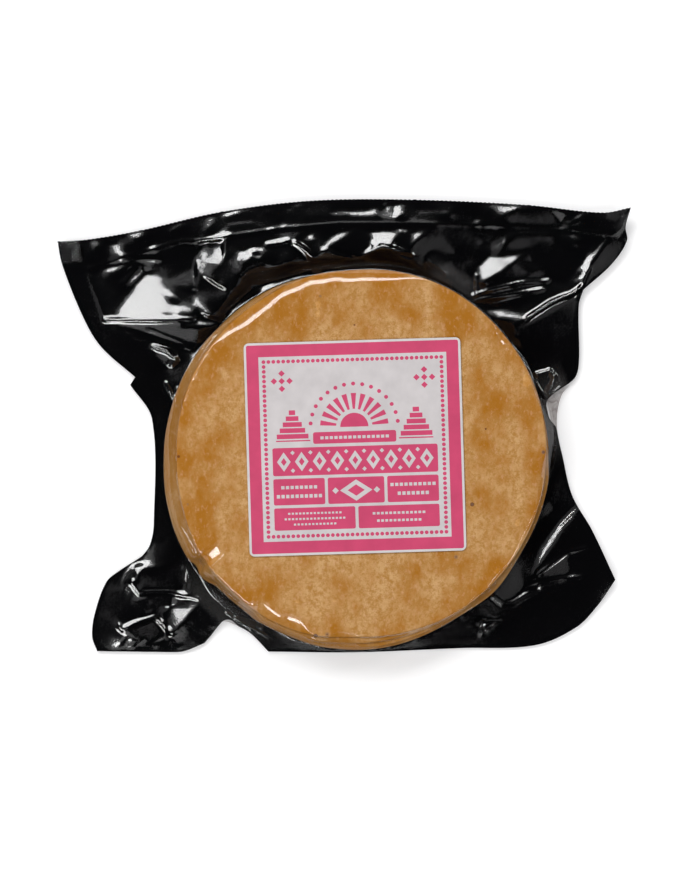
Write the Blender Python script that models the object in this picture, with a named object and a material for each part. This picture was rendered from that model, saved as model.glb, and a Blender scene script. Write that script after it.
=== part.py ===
"""Vacuum-sealed pouch of corn tortillas, lying flat with its label up.

Clear film over black film is drawn tight over a round stack of tortillas and
welded into a crumpled flange all round it. A square paper label lies on the
film above the stack. Sizes are in millimetres and are turned into metres as
each mesh is placed. +X runs along the pouch's mouth, +Y towards the mouth.
"""

from math import atan2, cos, hypot, pi, radians, sin

import bmesh
import bpy
from mathutils import Matrix, Vector
from mathutils.geometry import interpolate_bezier, intersect_point_line

MM = 0.001

# Stack inside the pouch
STACK_CENTRE = Vector((6.0, -11.0))
STACK_HEIGHT = 28.0
FLAT_RADIUS = 70.0              # the film lies flat on the top tortilla out to here
FOOT_RADIUS = 77.5              # foot of the film's wall, where the stack stands straight
FOOT_LEAN_LEFT = 3.4            # the lower tortillas stick out further on three sides
FOOT_LEAN_RIGHT = 1.5
FOOT_LEAN_FRONT = 2.5
SHOULDER_WIDTH_POWER = 2.6      # superellipse of the wall's section
SHOULDER_HEIGHT_POWER = 3.0

# Flange
FILM_PAIR = 1.3                 # solid thickness that stands for both films and their wrinkles
FLANGE_RISE = 6.0               # the films leave the stack this high on a wide flange
FLANGE_RISE_SLOPE = 0.35        # and lower on a narrow one, by its width
FOOT_RUN = 9.0                  # the back film comes down to the table over this distance
COLUMN_SPACING = 6.8            # along the pouch's edge

# Label
LABEL_SIZE = (87.5, 86.1)
LABEL_CORNER = 2.0
LABEL_CENTRE = Vector((4.7, -8.2))
LABEL_TURN = radians(1.7)
LABEL_THICKNESS = 0.25
CONTACT_GAP = 0.3

# Edge of the pouch seen from above, anticlockwise: x, y, height of the edge, and True
# where it turns a corner. The rest is a smooth curve.
RIGHT_EDGE = [
    (88.0, 1.0, 3.0, False), (90.0, 13.0, 3.0, False), (95.5, 19.5, 3.0, False),
    (97.1, 27.0, 4.0, False), (97.0, 50.0, 4.0, False), (98.8, 56.4, 5.0, True),
    (110.5, 67.0, 5.0, False), (116.6, 76.4, 6.5, False), (115.9, 82.0, 8.5, False),
]
MOUTH_EDGE = [
    (117.8, 90.0, 11.0, True), (106.5, 88.2, 6.5, False), (76.0, 91.4, 3.5, False),
    (29.0, 93.6, 2.6, False), (-13.4, 93.2, 2.6, False), (-50.6, 88.6, 2.2, False),
    (-84.0, 81.0, 2.8, False), (-105.0, 77.4, 4.0, False), (-117.8, 76.4, 5.0, True),
]
LEFT_EDGE = [
    (-115.8, 66.5, 4.5, False), (-107.0, 44.5, 3.6, False), (-100.0, 33.0, 3.0, False),
    (-86.0, 20.5, 2.6, True), (-88.0, 17.3, 2.6, True), (-79.0, 3.0, 2.2, False),
    (-78.3, -40.0, 2.2, False), (-80.0, -49.0, 2.4, False), (-83.3, -53.6, 3.0, True),
    (-92.5, -59.4, 3.2, False), (-97.8, -64.0, 3.2, False), (-102.6, -77.0, 2.8, False),
    (-103.7, -86.5, 2.6, False), (-101.6, -92.6, 2.4, True),
]
FRONT_EDGE = [
    (-59.7, -93.2, 2.2, True), (-56.9, -89.4, 2.6, False), (-53.9, -82.6, 3.2, False),
    (-49.5, -80.2, 3.8, False), (-42.3, -82.8, 3.8, False), (-38.1, -85.4, 3.2, False),
    (-31.0, -92.8, 2.0, True),
    (5.0, -93.1, 1.8, False), (48.0, -91.4, 1.8, False), (79.0, -90.2, 2.0, False),
    (96.0, -82.8, 2.4, False), (105.0, -73.5, 3.2, False), (112.0, -63.0, 5.0, True),
    (102.5, -42.5, 3.0, False), (94.5, -28.5, 2.4, False), (90.6, -13.0, 2.6, False),
]

# Large folds in the flange: where each one starts and ends, its height, and how far its
# slopes reach to either side
FOLDS = [
    ((-98.0, 44.0), (-58.0, 43.5), 5.0, 8.0),
    ((-56.0, 74.0), (-52.0, 60.0), 4.5, 6.0),
    ((-36.0, 76.0), (-34.0, 66.0), 4.0, 6.0),
    ((-10.0, 82.0), (-12.0, 70.0), 3.5, 6.0),
    ((16.0, 84.0), (14.0, 72.0), 4.0, 7.0),
    ((72.0, 40.0), (98.0, 57.0), 5.0, 7.0),
    ((56.0, 53.5), (84.0, 59.5), 3.5, 5.0),
    ((101.0, 66.0), (108.0, 78.0), 3.5, 5.0),
    ((78.0, -64.0), (95.0, -51.5), 4.0, 6.0),
    ((74.0, -68.0), (101.0, -62.5), 5.0, 7.0),
    ((-86.0, -67.5), (-62.0, -70.0), 5.0, 7.0),
    ((-91.0, -82.5), (-72.0, -80.0), 3.5, 6.0),
]

# Rings of the pouch's surface, from the middle of the top to the middle of the base
TOP_RING_RADII = [24.0, 46.0, 60.0]
WALL_RING_ANGLES = [radians(a) for a in (0, 22, 38, 52, 64, 74, 82)]
FLANGE_RINGS = [0.0, 0.08, 0.18, 0.29, 0.41, 0.53, 0.65, 0.77, 0.89, 1.0]
UNDERSIDE_RINGS = [1.0, 0.86, 0.72, 0.58, 0.44, 0.3, 0.16, 0.04]
BASE_RING_INSETS = [3.0, 26.0, 52.0]

CLEAR_OVER_TORTILLA = (0.62, 0.33, 0.12, 1.0)
LABEL_PINK = (0.72, 0.13, 0.22, 1.0)


def remove_scene_objects():
    for scene_object in list(bpy.data.objects):
        bpy.data.objects.remove(scene_object, do_unlink=True)


def make_material(name, colour, roughness):
    material = bpy.data.materials.new(name)
    material.use_nodes = True
    shader = material.node_tree.nodes["Principled BSDF"]
    shader.inputs["Base Color"].default_value = colour
    shader.inputs["Roughness"].default_value = roughness
    shader.inputs["Metallic"].default_value = 0.0
    return material


def edge_curve():
    """Points along the whole edge, evenly spaced on each stretch."""
    stations = RIGHT_EDGE + MOUTH_EDGE + LEFT_EDGE + FRONT_EDGE
    places = [Vector(station[:3]) for station in stations]
    count = len(places)

    def handle(index, other):
        """Bezier handle at one point, on the side of the other."""
        chord = places[other % count] - places[index % count]
        if stations[index % count][3]:
            return places[index % count] + chord / 3
        along = places[(index + 1) % count] - places[(index - 1) % count]
        along.normalize()
        if along.dot(chord) < 0:
            along.negate()
        return places[index % count] + along * chord.length / 3

    curve = []
    for index in range(count):
        start, end = places[index], places[(index + 1) % count]
        steps = max(1, round((end - start).length / COLUMN_SPACING))
        curve += interpolate_bezier(start, handle(index, index + 1), handle(index + 1, index),
                                    end, steps + 1)[:-1]
    return curve


def foot_angles(edge):
    """One direction from the stack's centre for each edge point, always turning the same way."""
    bearings = [atan2(point.y - STACK_CENTRE.y, point.x - STACK_CENTRE.x) for point in edge]
    count = len(edge)
    turns = []
    for index in range(count):
        turn = bearings[(index + 1) % count] - bearings[index]
        turn = (turn + pi) % (2 * pi) - pi
        turns.append(max(turn, 0.3 * 2 * pi / count))
    for _ in range(2):
        turns = [(turns[index - 1] + turns[index] + turns[(index + 1) % count]) / 3
                 for index in range(count)]
    scale = 2 * pi / sum(turns)
    angles, angle = [], 0.0
    for turn in turns:
        angles.append(angle)
        angle += turn * scale
    drift = [(bearing - angle + pi) % (2 * pi) - pi for bearing, angle in zip(bearings, angles)]
    start = sum(drift) / count
    return [angle + start for angle in angles]


def foot_radius(angle):
    """Distance from the stack's centre to the foot of the film's wall."""
    radius = FOOT_RADIUS + FOOT_LEAN_FRONT * max(0.0, -sin(angle)) ** 2
    if cos(angle) < 0:
        return radius + FOOT_LEAN_LEFT * cos(angle) ** 2
    return radius + FOOT_LEAN_RIGHT * cos(angle) ** 2


def fold_height(place):
    """Height that the large folds add at one place in the flange."""
    height = 0.0
    for start, end, crest, reach in FOLDS:
        nearest, along = intersect_point_line(place, Vector(start), Vector(end))
        nearest = Vector(start).lerp(Vector(end), min(1.0, max(0.0, along)))
        height = max(height, crest * max(0.0, 1.0 - (place - nearest.to_2d()).length / reach))
    return height


def flange_height(foot, edge_point, share):
    """Height of the film's upper face on the line from the stack's foot to the edge."""
    width = (edge_point.to_2d() - foot).length
    rise = min(FLANGE_RISE, FLANGE_RISE_SLOPE * width)
    place = foot.lerp(edge_point.to_2d(), share)
    return edge_point.z + rise * (1.0 - share) ** 1.5 + fold_height(place) * (1.0 - share ** 6)


def pouch_rings(edge, angles):
    """All rings of the pouch, top to base, each a list with one point for each column."""
    headings = [Vector((cos(angle), sin(angle))) for angle in angles]
    reaches = [foot_radius(angle) for angle in angles]
    feet = [STACK_CENTRE + heading * reach for heading, reach in zip(headings, reaches)]
    columns = range(len(edge))
    rings = []

    for radius in TOP_RING_RADII:
        rings.append([(STACK_CENTRE + heading * radius).to_3d() + Vector((0, 0, STACK_HEIGHT))
                      for heading in headings])
    for turn in WALL_RING_ANGLES:
        ring = []
        for column in columns:
            out = sin(turn) ** (2 / SHOULDER_WIDTH_POWER)
            radius = FLAT_RADIUS + (reaches[column] - FLAT_RADIUS) * out
            height = STACK_HEIGHT * cos(turn) ** (2 / SHOULDER_HEIGHT_POWER)
            lowest = flange_height(feet[column], edge[column], 0.0)
            place = STACK_CENTRE + headings[column] * radius
            ring.append(Vector((place.x, place.y, max(height, lowest))))
        rings.append(ring)
    for share in FLANGE_RINGS:
        ring = []
        for foot, edge_point in zip(feet, edge):
            place = foot.lerp(edge_point.to_2d(), share)
            ring.append(Vector((place.x, place.y, flange_height(foot, edge_point, share))))
        rings.append(ring)
    for share in UNDERSIDE_RINGS:
        ring = []
        for foot, edge_point in zip(feet, edge):
            place = foot.lerp(edge_point.to_2d(), share)
            height = flange_height(foot, edge_point, share) - FILM_PAIR
            lift = min(1.0, (place - foot).length / FOOT_RUN)
            ring.append(Vector((place.x, place.y, max(0.0, height) * lift)))
        rings.append(ring)
    for inset in BASE_RING_INSETS:
        rings.append([(STACK_CENTRE + heading * (reach - inset)).to_3d()
                      for heading, reach in zip(headings, reaches)])
    return rings


def link_mesh(bm, name, material, collection):
    mesh = bpy.data.meshes.new(name)
    bm.to_mesh(mesh)
    bm.free()
    mesh.materials.append(material)
    mesh.shade_smooth()
    mesh.set_sharp_from_angle(angle=radians(50))
    node = bpy.data.objects.new(name, mesh)
    collection.objects.link(node)
    return node


def make_pouch(collection):
    """A sphere's rings are moved out to the pouch's rings, so it stays one closed body."""
    edge = edge_curve()
    rings = pouch_rings(edge, foot_angles(edge))
    low = Vector([min(point[axis] for point in edge) for axis in range(2)])
    high = Vector([max(point[axis] for point in edge) for axis in range(2)])
    shift = -(low + high) / 2

    column_count, band_count = len(edge), len(rings) + 1
    bm = bmesh.new()
    bmesh.ops.create_uvsphere(bm, u_segments=column_count, v_segments=band_count, radius=1.0)
    for vertex in bm.verts:
        band = round(atan2(hypot(vertex.co.x, vertex.co.y), vertex.co.z) / pi * band_count)
        column = round(atan2(vertex.co.y, vertex.co.x) / (2 * pi) * column_count) % column_count
        if band == 0:
            place = STACK_CENTRE.to_3d() + Vector((0, 0, STACK_HEIGHT))
        elif band == band_count:
            place = STACK_CENTRE.to_3d()
        else:
            place = rings[band - 1][column]
        vertex.co = (place + shift.to_3d()) * MM
    bmesh.ops.recalc_face_normals(bm, faces=bm.faces)
    link_mesh(bm, "pouch", make_material("film", CLEAR_OVER_TORTILLA, 0.12), collection)
    return shift


def make_label(collection, shift):
    """Nearly square plate with rounded corners, just above the flat top of the pouch."""
    bm = bmesh.new()
    bmesh.ops.create_cube(bm, size=1.0)
    bmesh.ops.scale(bm, vec=Vector((*LABEL_SIZE, LABEL_THICKNESS)) * MM, verts=bm.verts)
    upright = [edge for edge in bm.edges
               if abs(edge.verts[0].co.z - edge.verts[1].co.z) > LABEL_THICKNESS * MM / 2]
    bmesh.ops.bevel(bm, geom=upright, offset=LABEL_CORNER * MM, segments=5, profile=0.5,
                    affect='EDGES', offset_type='OFFSET', material=-1)
    bmesh.ops.rotate(bm, cent=(0, 0, 0), matrix=Matrix.Rotation(LABEL_TURN, 3, 'Z'),
                     verts=bm.verts)
    middle = LABEL_CENTRE + shift
    height = STACK_HEIGHT + CONTACT_GAP + LABEL_THICKNESS / 2
    bmesh.ops.translate(bm, vec=Vector((middle.x, middle.y, height)) * MM, verts=bm.verts)
    link_mesh(bm, "label", make_material("label", LABEL_PINK, 0.45), collection)


def main():
    remove_scene_objects()
    collection = bpy.data.collections.new("tortilla_pack")
    bpy.context.scene.collection.children.link(collection)
    shift = make_pouch(collection)
    make_label(collection, shift)


main()
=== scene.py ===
from math import atan2, cos, hypot, pi, radians, sin, sqrt

import bmesh
import bpy
import numpy as np
from mathutils import Matrix, Vector, noise
from mathutils.geometry import interpolate_bezier


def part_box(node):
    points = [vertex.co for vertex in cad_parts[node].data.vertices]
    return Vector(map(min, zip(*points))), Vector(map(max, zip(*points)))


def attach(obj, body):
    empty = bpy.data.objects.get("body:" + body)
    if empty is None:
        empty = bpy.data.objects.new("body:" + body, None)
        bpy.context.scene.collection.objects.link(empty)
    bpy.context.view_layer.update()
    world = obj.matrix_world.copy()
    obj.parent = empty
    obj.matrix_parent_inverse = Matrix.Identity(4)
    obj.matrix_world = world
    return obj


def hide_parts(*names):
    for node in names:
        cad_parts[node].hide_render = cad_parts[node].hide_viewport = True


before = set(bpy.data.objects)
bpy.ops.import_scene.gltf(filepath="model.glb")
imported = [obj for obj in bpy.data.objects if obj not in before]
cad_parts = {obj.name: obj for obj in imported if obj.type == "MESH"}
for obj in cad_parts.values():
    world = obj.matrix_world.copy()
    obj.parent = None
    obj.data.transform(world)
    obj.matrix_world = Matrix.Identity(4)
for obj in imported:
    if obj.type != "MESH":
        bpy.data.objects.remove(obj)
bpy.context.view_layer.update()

# lengths are in millimetres until a mesh, lamp or camera is placed
mm = 0.001
pouchLow, pouchHigh = (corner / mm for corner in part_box("pouch"))
labelLow, labelHigh = (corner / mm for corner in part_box("label"))

studio = {
    "camera": (2.7, -3.7, 1200.0),      # straight above the pack
    "lens": 120.1,
    "floorSize": 9000.0,
    "floorColour": (0.87, 0.865, 0.86, 1.0),
    "floorGlow": 0.33,
    "skyColour": (0.93, 0.95, 1.0, 1.0),
    "skyGlow": 0.22,
}

# centre, width and height, radiance: every lamp and card faces the pack
lamps = {
    "window": {"centre": (-330, 760, 1300), "size": (1240, 500), "glow": 7.2},
    "lowLeft": {"centre": (-560, -700, 1200), "size": (900, 240), "glow": 9.0},
    "right": {"centre": (800, 480, 1200), "size": (220, 220), "glow": 9.0},
    "lowRight": {"centre": (690, -470, 1230), "size": (260, 200), "glow": 8.0},
    "cardRight": {"centre": (620, -200, 1350), "size": (660, 600), "glow": 0.17},
    "cardLeft": {"centre": (-700, 60, 1300), "size": (480, 600), "glow": 0.14},
    "cardLow": {"centre": (-130, -660, 1300), "size": (460, 420), "glow": 0.5},
    "windowSill": {"centre": (-227, 523, 1465), "size": (1240, 230), "glow": 0.3},
}


def lampAxes(lamp):
    centre = np.array(lamp["centre"], float)
    facing = -centre / np.linalg.norm(centre)
    across = np.cross((0, 0, 1), facing)
    across /= np.linalg.norm(across)
    return centre, across, np.cross(facing, across), facing


def addLamp(name, lamp):
    data = bpy.data.lights.new(name, "AREA")
    data.shape = "RECTANGLE"
    data.size = lamp["size"][0] * mm
    data.size_y = lamp["size"][1] * mm
    data.energy = lamp["glow"] * pi * data.size * data.size_y
    light = bpy.data.objects.new(name, data)
    centre, across, upward, facing = lampAxes(lamp)
    turn = Matrix((across, -upward, -facing)).transposed()
    light.matrix_world = Matrix.Translation(Vector(centre) * mm) @ turn.to_4x4()
    light.visible_camera = False
    bpy.context.scene.collection.objects.link(light)


def addCamera():
    data = bpy.data.cameras.new("camera")
    data.lens = studio["lens"]
    data.clip_start = 0.01
    camera = bpy.data.objects.new("camera", data)
    camera.location = Vector(studio["camera"]) * mm
    bpy.context.scene.collection.objects.link(camera)
    bpy.context.scene.camera = camera


def addFloorAndSky():
    bm = bmesh.new()
    bmesh.ops.create_grid(bm, x_segments=1, y_segments=1, size=studio["floorSize"] / 2 * mm)
    bmesh.ops.translate(bm, verts=bm.verts, vec=(0, 0, (pouchLow.z - 0.05) * mm))
    material, tree, shader = newMaterial("paleFloor", studio["floorColour"], 0.9)
    setInputs(tree, shader, {"Specular IOR Level": 0.0, "Emission Color": (1, 1, 1, 1),
                             "Emission Strength": studio["floorGlow"]})
    makePiece(bm, "floor", material)

    world = bpy.data.worlds.new("softSky")
    world.use_nodes = True
    sky = world.node_tree.nodes["Background"]
    sky.inputs["Color"].default_value = studio["skyColour"]
    sky.inputs["Strength"].default_value = studio["skyGlow"]
    world.cycles_visibility.glossy = False
    bpy.context.scene.world = world
    bpy.context.scene.view_settings.view_transform = "Standard"


def makePiece(bm, name, material, smooth=True):
    mesh = bpy.data.meshes.new(name)
    bm.to_mesh(mesh)
    bm.free()
    mesh.materials.append(material)
    if smooth:
        mesh.shade_smooth()
    piece = bpy.data.objects.new(name, mesh)
    bpy.context.scene.collection.objects.link(piece)
    return piece


def newMaterial(name, colour, roughness):
    material = bpy.data.materials.new(name)
    material.use_nodes = True
    shader = material.node_tree.nodes["Principled BSDF"]
    setInputs(material.node_tree, shader, {"Base Color": colour, "Roughness": roughness})
    return material, material.node_tree, shader


def setInputs(tree, node, values):
    # a socket among the values is linked, anything else is set
    for key, value in values.items():
        if isinstance(value, bpy.types.NodeSocket):
            tree.links.new(value, node.inputs[key])
        else:
            node.inputs[key].default_value = value


def addNode(tree, kind, values=None, **settings):
    node = tree.nodes.new(kind)
    for key, value in settings.items():
        setattr(node, key, value)
    setInputs(tree, node, values or {})
    return node


def addMaths(tree, operation, *values):
    node = addNode(tree, "ShaderNodeMath", dict(enumerate(values)), operation=operation)
    return node.outputs["Value"]


def objectPlace(tree):
    return addNode(tree, "ShaderNodeTexCoord").outputs["Object"]


def markOf(tree, name):
    return addNode(tree, "ShaderNodeAttribute", attribute_name=name).outputs["Fac"]


def addNoise(tree, where, scale, detail, **values):
    values = {"Vector": where, "Scale": scale, "Detail": detail, **values}
    return addNode(tree, "ShaderNodeTexNoise", values).outputs["Fac"]


def addBump(tree, height, strength, distance):
    values = {"Height": height, "Strength": strength, "Distance": distance}
    return addNode(tree, "ShaderNodeBump", values).outputs["Normal"]


def mixShaders(tree, share, first, second):
    return addNode(tree, "ShaderNodeMixShader", {0: share, 1: first, 2: second}).outputs[0]


def addRamp(tree, source, *stops):
    ramp = addNode(tree, "ShaderNodeValToRGB", {"Fac": source})
    for point, (place, colour) in zip(ramp.color_ramp.elements, stops):
        point.position = place
        point.color = (*colour, 1.0)
    return ramp.outputs["Color"]


# seen from above, anticlockwise: x, y, height of the edge, and 1 where it turns a corner
pouch = {
    "edge": [
        (88, 1, 3, 0), (90, 13, 3, 0), (95.5, 19.5, 3, 0), (97.1, 27, 4, 0), (97, 50, 4, 0),
        (98.8, 56.4, 5, 1), (110.5, 67, 5, 0), (116.6, 76.4, 6.5, 0), (115.9, 82, 8.5, 0),
        # the mouth
        (117.8, 90, 11, 1), (106.5, 88.2, 7, 0), (76, 91.4, 5.5, 0), (29, 93.6, 5.5, 0),
        (-13.4, 93.2, 5.5, 0), (-50.6, 88.6, 5, 0), (-84, 81, 4.2, 0), (-105, 77.4, 4, 0),
        # the left side
        (-117.8, 76.4, 5, 1), (-115.8, 66.5, 4.5, 0), (-107, 44.5, 3.6, 0), (-100, 33, 3, 0),
        (-86, 20.5, 2.6, 1), (-88, 17.3, 2.6, 1), (-79, 3, 2.2, 0), (-78.3, -40, 2.2, 0),
        (-80, -49, 2.4, 0), (-83.3, -53.6, 3, 1), (-92.5, -59.4, 3.2, 0), (-97.8, -64, 3.2, 0),
        (-102.6, -77, 2.8, 0), (-103.7, -86.5, 2.6, 0),
        # the front, with the notch where only clear film bridges
        (-101.6, -92.6, 2.4, 1), (-59.7, -93.2, 2.2, 1), (-56.9, -89.4, 2.6, 0),
        (-53.9, -82.6, 3.2, 0), (-49.5, -80.2, 3.8, 0), (-42.3, -82.8, 3.8, 0),
        (-38.1, -85.4, 3.2, 0), (-31, -92.8, 2, 1),
        (5, -93.1, 1.8, 0), (48, -91.4, 1.8, 0), (79, -90.2, 2, 0), (96, -82.8, 2.4, 0),
        (105, -73.5, 3.2, 0), (112, -63, 5, 1), (102.5, -42.5, 3, 0), (94.5, -28.5, 2.4, 0),
        (90.6, -13, 2.6, 0),
    ],
    "mouth": (9, 17),           # the stretch of stations that was cut with a toothed blade
    "tooth": 0.3,
    "spacing": 0.88,            # between the columns of the films' meshes, along the edge
    "footSmoothing": 11.0,      # the columns spread evenly round the stack over this length
    "leastTurn": 0.3,           # and each turns by at least this share of an even step
}

stack = {
    "centre": np.array((6.0, -11.0)),
    "footRadius": 77.3,         # the film's wall meets the flange here
    # where the tortillas stick out further: direction and spread in degrees, and by how much
    "bulges": [(0, 35, 1.7), (96, 18, -1.9), (185, 35, 2.2), (214, 24, 3.6), (266, 32, 3.4),
               (315, 9, 1.6)],
    # direction, where the film starts to bend over the rim, and how softly it does at first:
    # it is pulled tight in some places and lies in a soft curve in others
    "shoulder": [(0, 73, 4), (24, 75.6, 2), (30, 75.4, 3), (34, 73.4, 7), (37, 68.4, 20),
                 (40, 70.5, 11), (44, 75, 2.5), (60, 75, 2), (67, 74.2, 4), (73, 72.4, 6),
                 (80, 69.6, 8.5), (87, 67.5, 9.5), (96, 67.7, 11), (104, 68.3, 12.5),
                 (111, 68, 12.5), (117, 67.4, 12.5), (124, 66.5, 12.5), (131, 65.6, 12.5),
                 (137, 68.4, 12.5), (142, 71, 10), (148, 74.6, 5), (160, 74.5, 3),
                 (180, 72.5, 2.5), (209, 73.8, 4), (225, 75, 2.5), (233, 75.2, 2), (237, 69, 13),
                 (242, 68.2, 15), (243.8, 72.5, 5), (246, 67.8, 15), (251, 67, 16), (254, 74, 3),
                 (261, 74, 3), (264, 70, 9), (268, 70, 9), (272, 73.5, 4), (300, 73, 5),
                 (330, 73.5, 4)],
    "softBend": 24,             # degrees: past this the film bends tightly, down to the wall
    # where the rim is pressed down flat: direction, spread, from and to what radius, slope,
    # and how much steeper it is past that
    "pressed": [(214.8, 2.1, 66.6, 73.8, 0.30, 0.9)],
    "pressedDepth": 8,          # this far down at most
    "wallLean": 0.6,
    "softMost": 0.8,            # the soft bend takes up at most this share of the room
    # where the film stands off the stack in a slanting tent: direction, spread, and how far
    # out its foot goes
    "tents": [(228.5, 8.5, 2.6), (8, 13, 3.0)],
    "tentStart": 0.3,           # it starts this far inside the top tortilla's rim
    "leave": 2.0,               # the films leave the stack this high above the table,
    "leaveGain": 0.08,          # higher where the flange is wide
    "leaveMost": 3.4,
}


def edgeCurve(spacing):
    stations = pouch["edge"]
    places = [Vector(station[:3]) for station in stations]
    count = len(places)

    def handle(index, other):
        chord = places[other % count] - places[index % count]
        if stations[index % count][3]:
            return places[index % count] + chord / 3
        along = (places[(index + 1) % count] - places[(index - 1) % count]).normalized()
        if along.dot(chord) < 0:
            along.negate()
        return places[index % count] + along * chord.length / 3

    curve = []
    for index in range(count):
        start, end = places[index], places[(index + 1) % count]
        steps = max(1, round((end - start).length / spacing))
        stretch = interpolate_bezier(start, handle(index, index + 1), handle(index + 1, index),
                                     end, steps + 1)[:-1]
        if pouch["mouth"][0] <= index < pouch["mouth"][1]:
            for tooth in stretch[1::2]:
                tooth.y -= pouch["tooth"]
        curve += stretch
    return np.array(curve)


edge = edgeCurve(pouch["spacing"])
# the frame puts the middle of the pouch's box where the CAD has it
shift = np.array((pouchLow + pouchHigh)[:2]) / 2 - (edge.min(0) + edge.max(0))[:2] / 2


def lobe(angle, direction, spread, power):
    # 1 in one direction, fading away over a spread, both in degrees
    turn = (angle - radians(direction) + pi) % (2 * pi) - pi
    return np.exp(-(turn / radians(spread)) ** power)


def bearing(x, y):
    outX, outY = x - stack["centre"][0], y - stack["centre"][1]
    return np.arctan2(outY, outX), np.hypot(outX, outY)


def placeAt(angle, away):
    return stack["centre"][0] + away * np.cos(angle), stack["centre"][1] + away * np.sin(angle)


def footRadius(angle):
    radius = stack["footRadius"]
    for direction, spread, amount in stack["bulges"]:
        radius = radius + amount * lobe(angle, direction, spread, 2)
    return radius


def footAngles():
    # one direction from the stack's centre for each edge point, always turning the same way
    bearings = bearing(edge[:, 0], edge[:, 1])[0]
    count = len(edge)
    turns = (np.roll(bearings, -1) - bearings + pi) % (2 * pi) - pi
    turns = np.maximum(turns, pouch["leastTurn"] * 2 * pi / count)
    reach = round(pouch["footSmoothing"] / pouch["spacing"])
    for _ in range(2):
        turns = sum(np.roll(turns, step) for step in range(-reach, reach + 1))
    turns *= 2 * pi / turns.sum()
    angles = np.concatenate([[0.0], np.cumsum(turns)[:-1]])
    drift = (bearings - angles + pi) % (2 * pi) - pi
    return angles + drift.mean()


heights = {
    # the first grid is coarse and settles most; push is how firmly free film is turned away
    # from a lamp
    "coarse": {"cell": 1.0, "rounds": 8, "steps": 280, "push": 0.1},
    "fine": {"cell": 0.5, "rounds": 3, "steps": 450, "push": 0.15},
    "reach": (124.0, 99.0),
    "free": 3.5,                # the films' usual height off the table
    "slack": 0.008,             # how firmly free film keeps to its slope
    "yield": 0.1,               # a facet lets go where its slope is missed by this much
    "fold": 0.0008,             # how firmly film keeps to its slope along a fold
    "foldReach": 0.8,
    # how firmly film keeps to its height: free, on the stack, at the edge, past the edge
    "hold": (2e-5, 3.0, 0.3, 0.05),
    "edgeReach": 1.2,
    "aimWithin": (0.4, 0.38),   # a facet shows some part of this middle share of its lamp
    "clearOf": 0.13,            # free film's slope stays this far off a lamp's,
    "clearOfWindow": 0.19,      # and this far off the window's
}

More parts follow.
